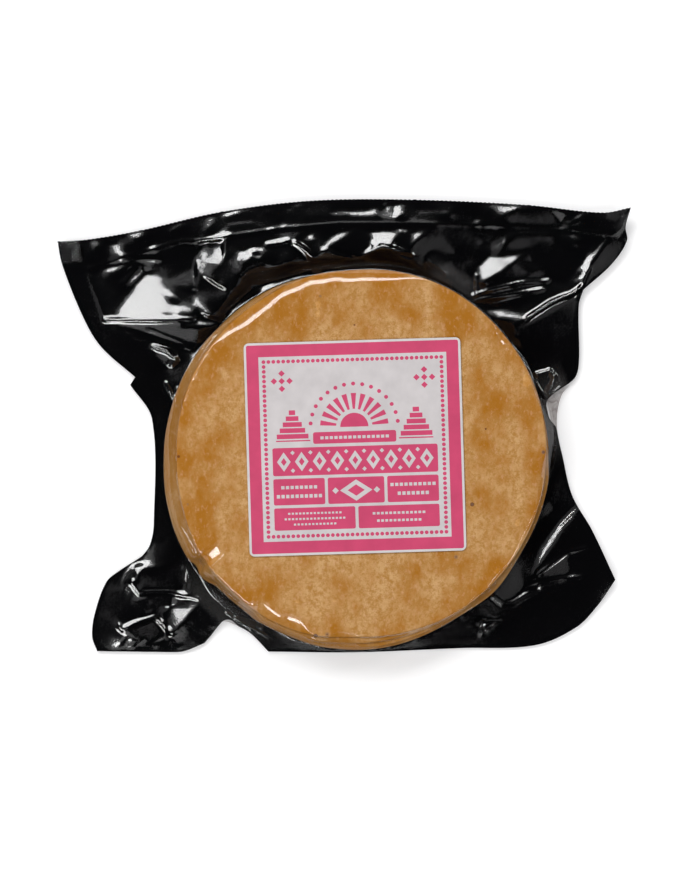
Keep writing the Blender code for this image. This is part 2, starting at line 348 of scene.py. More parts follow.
# facets of the crumpled film: each leans so that it mirrors a lamp or a card to someone
# looking straight down, and a warm one leans back to the stack
facets = {
    "warm": [
        [(-42, 59.5), (-41, 69), (-38, 71.5), (-35, 70.5), (-29, 66), (-20, 68), (-14, 66.5),
         (-10, 70.5), (-14, 64.8), (-25, 61.5), (-33, 58.8)],
        [(-9.5, 71.5), (-5, 69.5), (0, 68), (5, 68.5), (11, 71.5), (16, 74), (20, 72.5),
         (26, 67), (28, 63.8), (15, 65.8), (0, 65.8), (-10, 65.2)],
        [(-50, 49), (-44, 58), (-42, 59), (-38, 57), (-47, 48.5)],
        [(36, 63.5), (36, 68), (40, 65), (42, 62)],
    ],
    "soft": [
        [(-73, 59), (-72, 61), (-66, 64.5), (-61, 64.8), (-61, 57), (-66, 57.5)],
        [(-92.5, 60), (-90, 59.2), (-85.8, 64), (-86, 65.8), (-88, 64.5)],
        [(-28, 79), (-24, 81), (-18, 80), (-20, 77)], [(4, 79), (10, 80.5), (10, 76.5), (4, 76)],
        [(31, 89), (44, 89.5), (44, 87.5), (31, 87.5)], [(58, 75), (64, 76), (66, 72), (60, 71.5)],
    ],
    "low": [
        [(-94, 42.4), (-62, 42.6), (-54, 41.4), (-57, 36), (-60, 32), (-63, 31.6), (-73, 35.5),
         (-88, 40)], [(-77, 31.5), (-71, 29.5), (-70.5, 26), (-73, 24), (-76, 28)],
    ],
    "dim": [
        [(65, 71.5), (65.5, 74), (71, 78.5), (85, 78.5), (92, 70), (91, 67.5), (86, 72),
         (80, 74.5), (72, 72)],
        [(75, 60.5), (78, 63.5), (86, 67.5), (91, 67.5), (90, 66), (80, 60.8)],
        [(30, 63), (31, 72), (36, 77), (41, 77.8), (47, 72), (45, 71), (41, 74), (36, 72.5),
         (34, 70), (34, 63.5)], [(65, 86), (72, 89.5), (85, 89.5), (90, 83), (70, 82.5)],
        [(36, 63), (54, 61), (54, 53), (47, 56), (40, 60)],
        [(95, 56), (101, 65.5), (109, 77), (116, 77), (112, 68), (99, 58)],
        [(70, 38.5), (70.5, 41), (97, 57.5), (97, 54), (88, 48)],
        [(82, -60), (92, -52.5), (94, -60), (90, -62)],
        [(60, -70), (66, -65), (70, -58), (72, -57), (75, -66), (68, -72.5)],
        [(82, -33), (85, -31), (87, -34), (84, -36.5)],
        [(-85, -59.5), (-83, -58), (-68, -58), (-65, -60.5), (-65, -66), (-75, -67.5), (-84, -66)],
        [(-90, -85), (-85, -82), (-78, -80), (-75, -82), (-73, -85.5), (-77, -88)],
    ],
    "bright": [
        # left of the stack's top
        [(-82, 63.5), (-76, 63), (-73, 58), (-61.5, 47.8), (-62, 46.8), (-91, 45), (-93.5, 47.5),
         (-86, 59)], [(-100, 65), (-97.5, 63), (-93, 64), (-86.3, 68.3), (-89, 67.5), (-96, 66.5)],
        [(-105, 76.5), (-101, 77), (-101.5, 73.5)],
        [(-96, 75), (-92, 76.5), (-90.3, 71), (-94.8, 70.5)],
        [(-89.5, 79.5), (-82, 80.8), (-83, 78), (-87, 77)],
        [(-73, 81.2), (-66, 84.3), (-66, 83.4), (-71, 81)],
        [(-56, 86), (-52.8, 86.3), (-55, 82), (-57, 81)],
        [(-52.5, 78.5), (-49.5, 78), (-47, 83), (-50, 81.3)],
        [(-80, 74.3), (-77.5, 74.6), (-77.5, 73.4), (-80, 73)],
        [(-59, 73), (-57.5, 74), (-57, 70), (-54.5, 68.5), (-53.5, 74.5), (-50.5, 74),
         (-50.8, 66), (-59.5, 68.5)],
        [(-60, 68.5), (-59, 63.5), (-56, 60.5), (-49.8, 57.6), (-49.8, 58.8), (-53, 60),
         (-56.5, 64), (-58, 68.5)],
        [(-62.2, 55.3), (-60.3, 54.8), (-57, 50), (-53.5, 45.8), (-51, 45), (-54, 44.3),
         (-58, 47), (-61.5, 51)],
        [(-66, 43.7), (-60, 44.3), (-56, 43.2), (-52.5, 43.2), (-50.2, 45.2), (-51.5, 42),
         (-56, 41.1), (-66, 41.3)],
        # above the stack
        [(-36.5, 72.5), (-33, 74.5), (-32.7, 72.3), (-34, 71.5)],
        [(-16, 77), (-13.5, 80), (-12.2, 79.5), (-12.5, 76.5)],
        [(-8.5, 72.8), (-7, 76.5), (-3, 79.8), (3.5, 80.8), (2, 79), (-3, 76)],
        [(11, 80), (17, 80.8), (22.8, 80.2), (20, 75), (12.5, 75)],
        [(27.5, 75), (28, 79.8), (33, 80.6), (31, 77), (28, 74.3)],
        [(-34, 89.5), (-30.5, 88.3), (-31, 89.3)],
        [(-24, 90), (-22, 89.7), (-20.6, 87), (-22, 88.6)], [(-35, 83.5), (-33, 82), (-34, 84)],
        [(-26, 84.3), (-23.3, 83.2), (-25, 82.6)],
        [(-4.5, 87.3), (1, 88.8), (9, 89), (14, 90.3), (14, 86.6), (3, 87)],
        [(17.5, 91.5), (20, 91.8), (19.8, 86.5), (21, 85.4), (18, 85.5)],
        [(23, 91.8), (24.8, 91.8), (24, 87), (22.3, 87)], [(27.5, 86.5), (28.8, 86), (28, 84.8)],
        # right of the stack's top
        [(60, 71), (72.5, 70.6), (72, 69), (66, 64.5), (57, 59.5), (55.2, 61), (55.3, 66)],
        [(57, 48.3), (65, 48.7), (72, 47), (76, 44.5), (72, 43.8), (63, 45)],
        [(101, 66), (102.5, 67.5), (107.8, 76), (107, 76.8), (103, 72)],
        [(92.5, 79), (96, 80), (95, 78.5), (97.5, 76.5), (95, 77.3)],
        [(93, 84.5), (97, 88), (100, 88), (98, 86)],
        [(53, 85.2), (55, 86), (57, 84.4), (55, 84.4)],
        # the front left corner
        [(-71, -74), (-64, -74.5), (-62.5, -72), (-64, -70.3), (-60, -70), (-58.5, -71.5),
         (-64, -78), (-70.5, -85), (-71, -79)],
        [(-79.5, -89), (-76, -87), (-73, -86.3), (-74.5, -88), (-78, -89.8)],
        [(-69.3, -91), (-66.6, -88.8), (-67.5, -90.5)],
    ],
    "glint": [
        [(76.7, -64), (79, -58), (81, -51.5), (84.5, -46), (88.5, -39.8), (97, -31.5),
         (98, -33.5), (91, -41.5), (85.5, -50), (80, -58)],
        [(57.3, -80.2), (64, -79.9), (61, -81.6), (58.6, -81.2)],
        [(57.2, -85.8), (58.6, -82.5), (59.8, -83.2)],
    ],
    "level": [
        [(-72.5, 53), (-70, 53.5), (-67, 51.3), (-68.5, 50), (-71, 50.8)],
        [(-16, 82), (-3, 82.5), (10, 82), (24, 82), (38, 82), (38, 85), (24, 84.5), (12, 86),
         (3, 86.3), (-6, 86.5), (-16, 86)],
        [(5.2, 82.9), (9.5, 79.5), (10.8, 75), (4.4, 70.5), (-1.5, 74), (2, 78.5), (4.2, 80.8)],
        [(23.8, 80), (26.5, 79.5), (26.8, 74.5), (21.5, 74)],
        [(-64, -56.5), (-60, -57), (-56, -62.5), (-53, -68), (-57, -70.3), (-61, -69.5),
         (-63.5, -66)], [(-48, 86), (-47.5, 84), (-38, 85), (-36, 87.5), (-40, 89)],
        [(-47, 82), (-40, 84), (-30, 80), (-30, 76), (-42, 72), (-46, 76)],
        [(78, 68), (88, 73), (96, 72), (100, 70), (92, 60)],
    ],
}
# how firmly each kind keeps to its slope, and the lamp that it shows
facetKinds = {"warm": (0.5, ""), "soft": (0.8, "windowSill"), "low": (1.5, "cardLow"),
              "dim": (1.0, "cardRight"), "bright": (1.5, "window"), "glint": (1.5, "lowRight"),
              "level": (1.5, "")}
warmSlope = 0.55

# lines between facets, along which the film turns freely
folds = [
    [(-60.8, 56.5), (-61, 66), (-60.2, 74)],
    [(-49.5, 56.6), (-53, 58.6), (-57.5, 62)],
    [(-61.5, 50.3), (-58, 46.4), (-52, 43.8)],
    [(-50, 66), (-49.8, 75)],
    [(-60, 76), (-48, 77)],
    [(16.6, 85.5), (16.8, 92.5)],
    [(21.6, 86.5), (21.4, 92.5)],
    [(25.8, 86.5), (25.8, 92.5)],
    [(-5, 87.7), (1, 89.5), (9, 89.8), (14.8, 91)],
    [(3.6, 71.5), (4.4, 79)],
    [(10.3, 81.2), (23.6, 80.8)],
]

# sharp creases: the line they follow, their height and their half width
creases = [
    ([(-98, 44), (-80, 43.7), (-62, 44.4)], 0.58, 1.05),
    ([(-104.5, 62), (-98, 44)], 0.26, 1.05),
    ([(-104.5, 65), (-96, 68), (-87, 69.2), (-76, 69)], 0.26, 1.05),
    ([(-92, 69.6), (-78, 73.3), (-66, 76.6), (-60, 76.2), (-50, 77.6), (-47, 79)], 0.2, 1.05),
    ([(-20, 75.5), (-16.5, 73.5), (-12, 69)], 0.66, 1.05),
    ([(-31, 75), (-27, 75.6), (-23, 76.4)], 0.39, 1.05),
    ([(-8, 72.5), (4, 68.5), (10, 71), (16, 74.3), (22, 72.8), (28, 71.5)], 0.35, 1.05),
    ([(53.5, 54), (60, 56.3), (73, 59.3), (84, 60)], 0.45, 0.95),
    ([(55, 52.3), (68, 54.2), (82, 56.6)], 0.45, 0.95),
    ([(54.6, 62), (54.8, 54.5)], 0.35, 0.9),
    ([(76, 45), (85, 51), (89.5, 53), (94, 54.5), (98, 57.5)], 0.66, 1.05),
    ([(98, 57.5), (101, 65)], 0.45, 1.05),
    ([(80, 21.5), (85, 23), (87.3, 20), (84, 14), (88, 12)], 0.79, 1.05),
    ([(76, -66.5), (82, -64.5), (90, -62.6), (98, -62)], 0.25, 0.8),
    ([(78.5, -62.5), (85, -57.5), (93, -51.5), (100, -50)], 0.2, 0.8),
    ([(62, -70), (66, -73), (70, -72.5), (75, -69.5), (80, -66.5)], 0.41, 1.05),
    ([(57.5, -80), (64, -79.8), (59.5, -82.6), (57.2, -85.5), (57.2, -80.5)], 0.3, 0.8),
    # the seal along the mouth
    ([(-60, 76.5), (-26, 81.6), (-1.4, 83.6), (30, 83.6), (62, 82.9), (97, 80.8), (114, 78.6)],
     0.16, 0.9),
    ([(-87, -64), (-84, -68.3), (-72, -68.2), (-60, -70.8)], 0.6, 1.1),
    ([(-92.3, -82), (-91, -83.5), (-85, -80.5), (-78, -78.5), (-76, -79.5), (-71, -85.3)],
     0.58, 1.05),
    ([(-78, 33), (-72, 31), (-69, 28), (-71, 25.5)], 0.6, 1.05),
    ([(-89, 39.5), (-62, 32)], 0.12, 0.9),
    ([(-86, 37), (-62, 31.5)], 0.12, 0.9),
    ([(-80, 40), (-62, 33)], 0.1, 0.9),
]

# fine pinches where the clear film stands off the stack
pinches = [
    ([(-54.1, -59.8), (-49.8, -65.8)], 0.35, 0.6),
    ([(-44.7, -76.4), (-43.5, -79.7), (-42.2, -80.8)], 0.4, 0.6),
    ([(-38, -78.5), (-38, -83.6)], 0.35, 0.6),
    ([(-35, -82.7), (-33.7, -79.7)], 0.45, 0.8),
    ([(-32.9, -80.2), (-26.9, -83.6), (-21, -87), (-4.9, -91.2)], 0.35, 0.6),
    ([(-48, -77), (-40, -82), (-32, -86)], 0.3, 0.5),
    ([(86.5, 18), (84.2, 13.6), (88.5, 11.5)], 0.4, 0.6),
    ([(86.5, 15), (89, 17.5)], 0.3, 0.5),
    ([(85.2, 6), (86.6, -6)], 0.3, 0.6),
    ([(-73, 18), (-70.5, 13), (-67.4, 9)], 0.4, 0.6),
    ([(-68.5, 16), (-69.5, 10.5)], 0.3, 0.5),
]


def insideOutline(x, y, outline):
    inside = np.zeros(x.shape, bool)
    for (x0, y0), (x1, y1) in zip(outline, np.roll(outline, -1, axis=0)):
        if y0 != y1:
            inside ^= ((y0 > y) != (y1 > y)) & (x < (x1 - x0) * (y - y0) / (y1 - y0) + x0)
    return inside


def distanceToLine(x, y, line):
    nearest = np.full(x.shape, 1e9)
    line = np.array(line, float)
    for start, end in zip(line[:-1], line[1:]):
        run = end - start
        share = ((x - start[0]) * run[0] + (y - start[1]) * run[1]) / (run @ run)
        share = np.clip(share, 0, 1)
        away = np.hypot(x - start[0] - share * run[0], y - start[1] - share * run[1])
        nearest = np.minimum(nearest, away)
    return nearest


def unit(vectors):
    return vectors / np.linalg.norm(vectors, axis=-1, keepdims=True)


def slopeTowards(spot, x, y):
    # the slope at which the film shows this spot to someone at the camera's place
    here = np.stack([x, y, np.zeros_like(x)], -1)
    half = unit(np.array(studio["camera"]) - here) + unit(np.array(spot) - here)
    return -half[..., 0] / half[..., 2], -half[..., 1] / half[..., 2]


def mirrored(lamp, x, y, z, slopeX, slopeY):
    # where the film's mirrored view meets the lamp's plane, across and upward from its centre
    here = np.stack([x, y, z], -1)
    normal = unit(np.stack([-slopeX, -slopeY, np.ones_like(x)], -1))
    view = unit(np.array(studio["camera"]) - here)
    ray = 2 * (normal * view).sum(-1, keepdims=True) * normal - view
    centre, across, upward, facing = lampAxes(lamp)
    reach = ((centre - here) @ facing) / (ray @ facing)
    spot = here + ray * np.maximum(reach, 0)[..., None] - centre
    return spot @ across, spot @ upward


def startField(cell):
    # the grid, what each of its places is held to, and how firmly
    reachX, reachY = heights["reach"]
    x, y = np.meshgrid(np.arange(-reachX, reachX + cell / 2, cell),
                       np.arange(-reachY, reachY + cell / 2, cell))
    angle, away = bearing(x, y)
    foot = footRadius(angle)
    footX, footY = placeAt(angle, foot)
    edgeDistance = np.full(x.shape, 1e9)
    flangeWidth = np.full(x.shape, 1e9)
    edgeHeight = np.zeros(x.shape)
    for edgeX, edgeY, edgeZ in edge[::2]:
        gap = (x - edgeX) ** 2 + (y - edgeY) ** 2
        closer = gap < edgeDistance
        edgeDistance[closer] = gap[closer]
        edgeHeight[closer] = edgeZ
        flangeWidth = np.minimum(flangeWidth, (footX - edgeX) ** 2 + (footY - edgeY) ** 2)
    leave = stack["leave"] + stack["leaveGain"] * np.sqrt(flangeWidth)
    leave = np.minimum(stack["leaveMost"], leave)

    onStack = away < foot + 0.5
    inPouch = insideOutline(x, y, edge[:, :2])
    atEdge = (edgeDistance < heights["edgeReach"] ** 2) & ~onStack
    freeHold, stackHold, edgeHold, outerHold = heights["hold"]
    hold = np.full(x.shape, freeHold)
    height = np.full(x.shape, heights["free"])
    for place, firm, level in ((onStack, stackHold, leave), (atEdge, edgeHold, edgeHeight),
                               (~inPouch, outerHold, edgeHeight)):
        hold[place] = firm
        height[place] = level[place]

    pull = np.full(x.shape, heights["slack"])   # how firmly it is held to its slope
    slopeX, slopeY = np.zeros(x.shape), np.zeros(x.shape)
    aim = np.full(x.shape, "", dtype="<U12")    # the lamp that each place should show
    fixed = np.zeros(x.shape, bool)
    for kind, outlines in facets.items():
        firm, lampName = facetKinds[kind]
        leanX = leanY = np.zeros(x.shape)
        if lampName:
            leanX, leanY = slopeTowards(lamps[lampName]["centre"], x, y)
        elif kind == "warm":
            leanX, leanY = warmSlope * np.cos(angle), warmSlope * np.sin(angle)
        for outline in outlines:
            place = insideOutline(x, y, np.array(outline, float)) & ~onStack
            aim[place] = lampName
            pull[place] = firm
            slopeX[place], slopeY[place] = leanX[place], leanY[place]
            fixed |= place
    for line in folds:
        loose = (distanceToLine(x, y, line) < heights["foldReach"]) & ~onStack
        pull[loose] = heights["fold"]
        aim[loose] = ""
        fixed |= loose
    return {"cell": cell, "x": x, "y": y, "hold": hold, "height": height, "pull": pull,
            "firm": pull.copy(), "slopeX": slopeX, "slopeY": slopeY, "aim": aim,
            "free": inPouch & ~onStack & ~fixed}


def solveHeights(field, heightNow, steps):
    # least squares by conjugate gradients: heights whose slopes and levels fit best
    cell, hold = field["cell"], field["hold"]
    pullX = (field["pull"][:, 1:] + field["pull"][:, :-1]) / 2 / cell ** 2
    pullY = (field["pull"][1:] + field["pull"][:-1]) / 2 / cell ** 2
    riseX = (field["slopeX"][:, 1:] + field["slopeX"][:, :-1]) / 2 * cell
    riseY = (field["slopeY"][1:] + field["slopeY"][:-1]) / 2 * cell

    def spread(total, flowX, flowY):
        total[:, 1:] += flowX
        total[:, :-1] -= flowX
        total[1:] += flowY
        total[:-1] -= flowY
        return total

    def apply(z):
        return spread(hold * z, pullX * np.diff(z, axis=1), pullY * np.diff(z, axis=0))

    wanted = spread(hold * field["height"], pullX * riseX, pullY * riseY)
    scale = hold.copy()
    for part, weight in ((np.s_[:, 1:], pullX), (np.s_[:, :-1], pullX),
                         (np.s_[1:], pullY), (np.s_[:-1], pullY)):
        scale[part] += weight
    z = heightNow.copy()
    rest = wanted - apply(z)
    step = rest / scale
    size = (rest * step).sum()
    for _ in range(steps):
        change = apply(step)
        length = size / (step * change).sum()
        z += length * step
        rest -= length * change
        scaled = rest / scale
        newSize = (rest * scaled).sum()
        step = scaled + newSize / size * step
        size = newSize
    return z


def settleField(field, z, stage):
    # between rounds the free film is turned away from the lamps that it would mirror, a facet
    # is let off once it shows any part of its own lamp, and misfits gather into creases
    for turn in range(stage["rounds"]):
        z = solveHeights(field, z, stage["steps"])
        if turn == stage["rounds"] - 1:
            return z
        slopeY, slopeX = np.gradient(z, field["cell"])
        for name, lamp in lamps.items():
            width, height = lamp["size"]
            centre, across, upward, facing = lampAxes(lamp)
            place = field["free"] | (field["aim"] == name)
            here = [field[key][place] for key in "xy"] + [z[place]]
            slopes = slopeX[place], slopeY[place]
            side, up = mirrored(lamp, *here, *slopes)

            aimed = field["aim"][place] == name
            mostSide, mostUp = np.array(heights["aimWithin"]) * lamp["size"]
            spot = (centre + np.clip(side, -mostSide, mostSide)[:, None] * across
                    + np.clip(up, -mostUp, mostUp)[:, None] * upward)
            goalX, goalY = slopeTowards(spot, here[0], here[1])

            shows = ~aimed & (abs(side) < width / 2) & (abs(up) < height / 2)
            lampX, lampY = slopeTowards(lamp["centre"], here[0], here[1])
            lampSlope = np.hypot(lampX, lampY)
            towardX, towardY = lampX / lampSlope, lampY / lampSlope
            slope = slopes[0] * towardX + slopes[1] * towardY
            band = heights["clearOfWindow" if name == "window" else "clearOf"]
            clear = np.where(slope > lampSlope + band / 4, lampSlope + band, lampSlope - band)
            awayX = slopes[0] + (clear - slope) * towardX
            awayY = slopes[1] + (clear - slope) * towardY
            for key, goal, away in (("slopeX", goalX, awayX), ("slopeY", goalY, awayY)):
                field[key][place] = np.where(aimed, goal,
                                             np.where(shows, away, field[key][place]))
            field["pull"][place] = np.where(shows, stage["push"], field["pull"][place])
        miss = np.hypot(slopeX - field["slopeX"], slopeY - field["slopeY"])
        loosened = field["firm"] / (1 + (miss / heights["yield"]) ** 2)
        field["pull"] = np.where(field["free"], field["pull"], loosened)


def sample(field, values, x, y):
    cell = field["cell"]
    across = (x - field["x"][0, 0]) / cell
    along = (y - field["y"][0, 0]) / cell
    rows, columns = values.shape
    left = np.clip(across.astype(int), 0, columns - 2)
    low = np.clip(along.astype(int), 0, rows - 2)
    u, v = across - left, along - low
    lower = values[low, left] * (1 - u) + values[low, left + 1] * u
    upper = values[low + 1, left] * (1 - u) + values[low + 1, left + 1] * u
    return lower * (1 - v) + upper * v


def makeHeightField():
    coarse = startField(heights["coarse"]["cell"])
    z = settleField(coarse, coarse["height"], heights["coarse"])
    fine = startField(heights["fine"]["cell"])
    z = sample(coarse, z, fine["x"], fine["y"])
    for key in ("slopeX", "slopeY", "pull"):
        carried = sample(coarse, coarse[key], fine["x"], fine["y"])
        keep = fine["free"] | (fine["aim"] != "") if key != "pull" else fine["free"]
        fine[key] = np.where(keep, carried, fine[key])
    z = settleField(fine, z, heights["fine"])
    for axis in (0, 1):
        z = (np.roll(z, 1, axis) + 2 * z + np.roll(z, -1, axis)) / 4
    fine["z"] = z
    return fine


def ridged(x, y, z, lines):
    for line, height, halfWidth in lines:
        z = z + height * np.exp(-(distanceToLine(x, y, line) / halfWidth) ** 2)
    return z


def flangeHeight(field, x, y):
    return ridged(x, y, sample(field, field["z"], x, y), creases + pinches)


def tentShare(angle):
    share, out = np.zeros_like(angle), np.zeros_like(angle)
    for direction, spread, reach in stack["tents"]:
        here = lobe(angle, direction, spread, 4)
        share, out = np.maximum(share, here), np.maximum(out, here * reach)
    return share, out


def aroundStack(angle, directions, values):
    # a value given for some directions, blended softly in between
    turn = np.degrees(angle) % 360
    near = [np.interp((turn + step) % 360, directions, values, period=360)
            for step in (-1.5, -0.75, 0, 0.75, 1.5)]
    return sum(near) / 5


def filmFoot(angle):
    return footRadius(angle) + tentShare(angle)[1]


def filmSection(angles):
    # rings of the film from the middle of the top to the foot of the wall: radius and height
    foot, top = footRadius(angles), pouchHigh.z
    directions, starts, bends = zip(*stack["shoulder"])
    flat = aroundStack(angles, directions, starts)
    flat = flat + film["wobble"] * np.sin(angles * 31 + 2 * np.sin(angles * 7))
    soft = aroundStack(angles, directions, bends)
    softTurn = radians(stack["softBend"])
    room = foot - stack["wallLean"] - flat
    soft = np.minimum(soft, stack["softMost"] * room / sin(softTurn))
    tight = (room - soft * sin(softTurn)) / (1 - sin(softTurn))
    tent, out = tentShare(angles)
    tentStart = aroundStack(angles, *zip(*tortillas["topRim"])) - stack["tentStart"]
    radii = [flat * share for share in film["topRings"]]
    levels = [np.full_like(angles, top) for _ in film["topRings"]]
    last = film["shoulderRings"] + film["wallRings"]
    for step in range(last + 1):
        turn = pi / 2 * min(1.0, step / film["shoulderRings"]) ** 1.4
        down = max(0.0, step - film["shoulderRings"]) / film["wallRings"]
        first, then = min(turn, softTurn), max(turn, softTurn)
        radius = flat + soft * sin(first) + tight * (sin(then) - sin(softTurn))
        radius = radius + stack["wallLean"] * down
        level = top - soft * (1 - cos(first)) - tight * (cos(softTurn) - cos(then))
        level = level + (stack["leave"] - level) * down
        share = step / last
        slant = tentStart + (foot + out - tentStart) * share
        # it bends softly out of the top
        slantLevel = top - (top - stack["leave"]) * (sqrt(share ** 2 + 0.01) - 0.1) / 0.905
        radii.append(radius * (1 - tent) + slant * tent)
        levels.append(level * (1 - tent) + slantLevel * tent)
    radii, levels = np.array(radii), np.array(levels)
    for direction, spread, start, end, slope, steeper in stack["pressed"]:
        slant = top - slope * (radii - start) - steeper * np.maximum(0, radii - end)
        over = np.maximum(0, levels - slant) * (radii > start)
        over = over * (levels > top - stack["pressedDepth"])
        levels = levels - over * lobe(angles, direction, spread, 6)
    return radii, levels


def sheetFromRings(rings):
    # rings x columns x 3; a grid is rolled up along the columns, and its seam and pole merged
    count, columns = rings.shape[:2]
    bm = bmesh.new()
    bmesh.ops.create_grid(bm, x_segments=columns, y_segments=count - 1, size=1.0)
    places = np.concatenate([rings, rings[:, :1]], axis=1).reshape(-1, 3)
    for vertex, place in zip(bm.verts, places):
        vertex.co = place
    bmesh.ops.remove_doubles(bm, verts=bm.verts, dist=0.002)
    bmesh.ops.transform(bm, verts=bm.verts,
                        matrix=Matrix.Scale(mm, 4) @ Matrix.Translation((*shift, 0)))
    return bm


tortillas = {
    "count": 20,
    "thickness": 1.38,
    "gap": 0.12,                # between the film and the tortilla under it
    "radius": 75.0,
    # direction and radius of the top tortilla's rim, which isn't quite round
    "topRim": [(0, 76.2), (60, 76.2), (90, 75), (108, 74.4), (120, 73.8), (150, 74),
               (165, 73.8), (180, 73.4), (198, 74.2), (213, 75.8), (228, 75.2), (240, 76.2),
               (252, 76), (270, 74), (300, 75.4), (330, 75.8)],
    # centre from the stack's centre and radius, for the next ones whose rims show
    "shown": [(-3.2, -1.6, 75.4), (-4.6, -3.6, 76.0), (1.6, -4.6, 75.8), (-3.6, -4.8, 76.4)],
    "spreadX": (-4.6, 3.2),
    "spreadY": (-5.0, 1.0),
    "mostDroop": 4.2,
    "thinner": (0.8, 0.27),     # from this share of the radius on, a rim thins by this much
    "lowestInside": [4.7, 2.8, 1.2],    # the lowest rims stay this far inside the film's foot
    # direction, and how much painted shade the rims get there, more where less light falls on the
    # stack's side
    "paintedShadeByDirection": [(0, 0.4), (90, 0.6), (170, 0.7), (195, 0.62), (208, 0.7), (217, 0.8),
                 (226, 0.85), (240, 0.68), (255, 0.6), (268, 0.35), (285, 0.28), (300, 0.42),
                 (315, 0.45), (330, 0.55), (345, 0.35)],
    "paintedShadeSwing": 0.18,          # and how much that painted shade differs from one tortilla to the next
    "waves": [(0.10, 4, 0), (0.12, 13, 5)],     # of the top one: height, length, seed
    "innerRings": [0.3, 0.6, 0.8, 0.88, 0.92],
    "edgeWidth": 0.02,          # the rim is rounded over this share of the radius
    "steps": 300,
    "radiusStep": 0.25,
}


def tortillaOutline(index, angle, random):
    # distance from the stack's centre to this tortilla's rim
    fromTop = tortillas["count"] - 1 - index
    if fromTop == 0:
        return aroundStack(angle, *zip(*tortillas["topRim"]))
    if fromTop <= len(tortillas["shown"]):
        offX, offY, radius = tortillas["shown"][fromTop - 1]
    else:
        offX, offY = random.uniform(*tortillas["spreadX"]), random.uniform(*tortillas["spreadY"])
        radius = tortillas["radius"] + random.uniform(-0.4, 1.2)
    along = offX * np.cos(angle) + offY * np.sin(angle)
    rim = along + np.sqrt(radius ** 2 - offX ** 2 - offY ** 2 + along ** 2)
    for waves in range(2, 9):
        phase, size = random.uniform(0, 2 * pi), random.uniform(0.1, 0.9) / waves
        rim = rim + size * np.cos(waves * angle + phase)
    return rim


def rimTaper(share):
    # a tortilla's thickness along its radius, as a share of its full thickness
    start, loss = tortillas["thinner"]
    step = np.clip((share - start) / (1 - start), 0, 1)
    return 1 - loss * step * step * (3 - 2 * step)


def makeTortilla(index, rimRadius, topHeight, material):
    # a half section spun round, then moved to the rim's outline and the layer's heights
    isTop = index == tortillas["count"] - 1
    inner = [share / 40 for share in range(1, 38)] if isTop else tortillas["innerRings"]
    half, edgeWidth = tortillas["thickness"] / 2, tortillas["edgeWidth"]
    section = [(0.0, half)] + [(share, half) for share in inner]
    rounding = [(0.0, 1.0), (0.35, 0.96), (0.7, 0.8), (0.92, 0.5), (1.0, 0.0)]
    section += [(1 - edgeWidth * 1.6, half), (1 - edgeWidth, half * 0.99)]
    section += [(1 - edgeWidth * 0.5 * (1 - out), half * up) for out, up in rounding]
    section += [(share, -height) for share, height in reversed(section[:-1])]

    bm = bmesh.new()
    profile = [bm.verts.new((share, 0, height)) for share, height in section]
    line = [bm.edges.new(pair) for pair in zip(profile[:-1], profile[1:])]
    steps = tortillas["steps"]
    bmesh.ops.spin(bm, geom=profile + line, cent=(0, 0, 0), axis=(0, 0, 1), angle=2 * pi,
                   steps=steps, use_merge=True)
    bmesh.ops.remove_doubles(bm, verts=bm.verts, dist=0.0005)
    bmesh.ops.recalc_face_normals(bm, faces=bm.faces)
    directionShades = aroundStack(np.arange(steps) * 2 * pi / steps, *zip(*tortillas["paintedShadeByDirection"]))
    shades = []                 # painted shade on the rim: its rounded underside, and all of the rim under the top tortilla
    for vertex in bm.verts:
        share = hypot(vertex.co.x, vertex.co.y)
        angle = atan2(vertex.co.y, vertex.co.x)
        column = round(angle / (2 * pi) * steps) % steps
        radius = share * rimRadius[column]
        depth = (half - vertex.co.z) * rimTaper(share)
        level = topHeight(radius, column) - depth
        x = stack["centre"][0] + radius * cos(angle)
        y = stack["centre"][1] + radius * sin(angle)
        if isTop:
            level += sum(height * noise.noise((x / length, y / length, seed))
                         for height, length, seed in tortillas["waves"])
        # painted shade, by direction round the stack and from one tortilla to the next
        shadeHere = directionShades[column] + tortillas["paintedShadeSwing"] * sin(index * 2.4)
        shade = min(shadeHere + 0.2, max(0.0, (depth - 0.12) * 3)) if share > 0.97 else 0.0
        if not isTop:
            shade = max(shade, shadeHere * min(1.0, max(0.0, (share - 0.88) * 20)))
        shades.append(shade)
        vertex.co = Vector((x + shift[0], y + shift[1], level)) * mm
    piece = makePiece(bm, f"tortilla_{index + 1:02d}", material)
    # the painted shade is kept in the 'side' attribute
    piece.data.attributes.new("side", "FLOAT", "POINT").data.foreach_set("value", shades)
    return piece


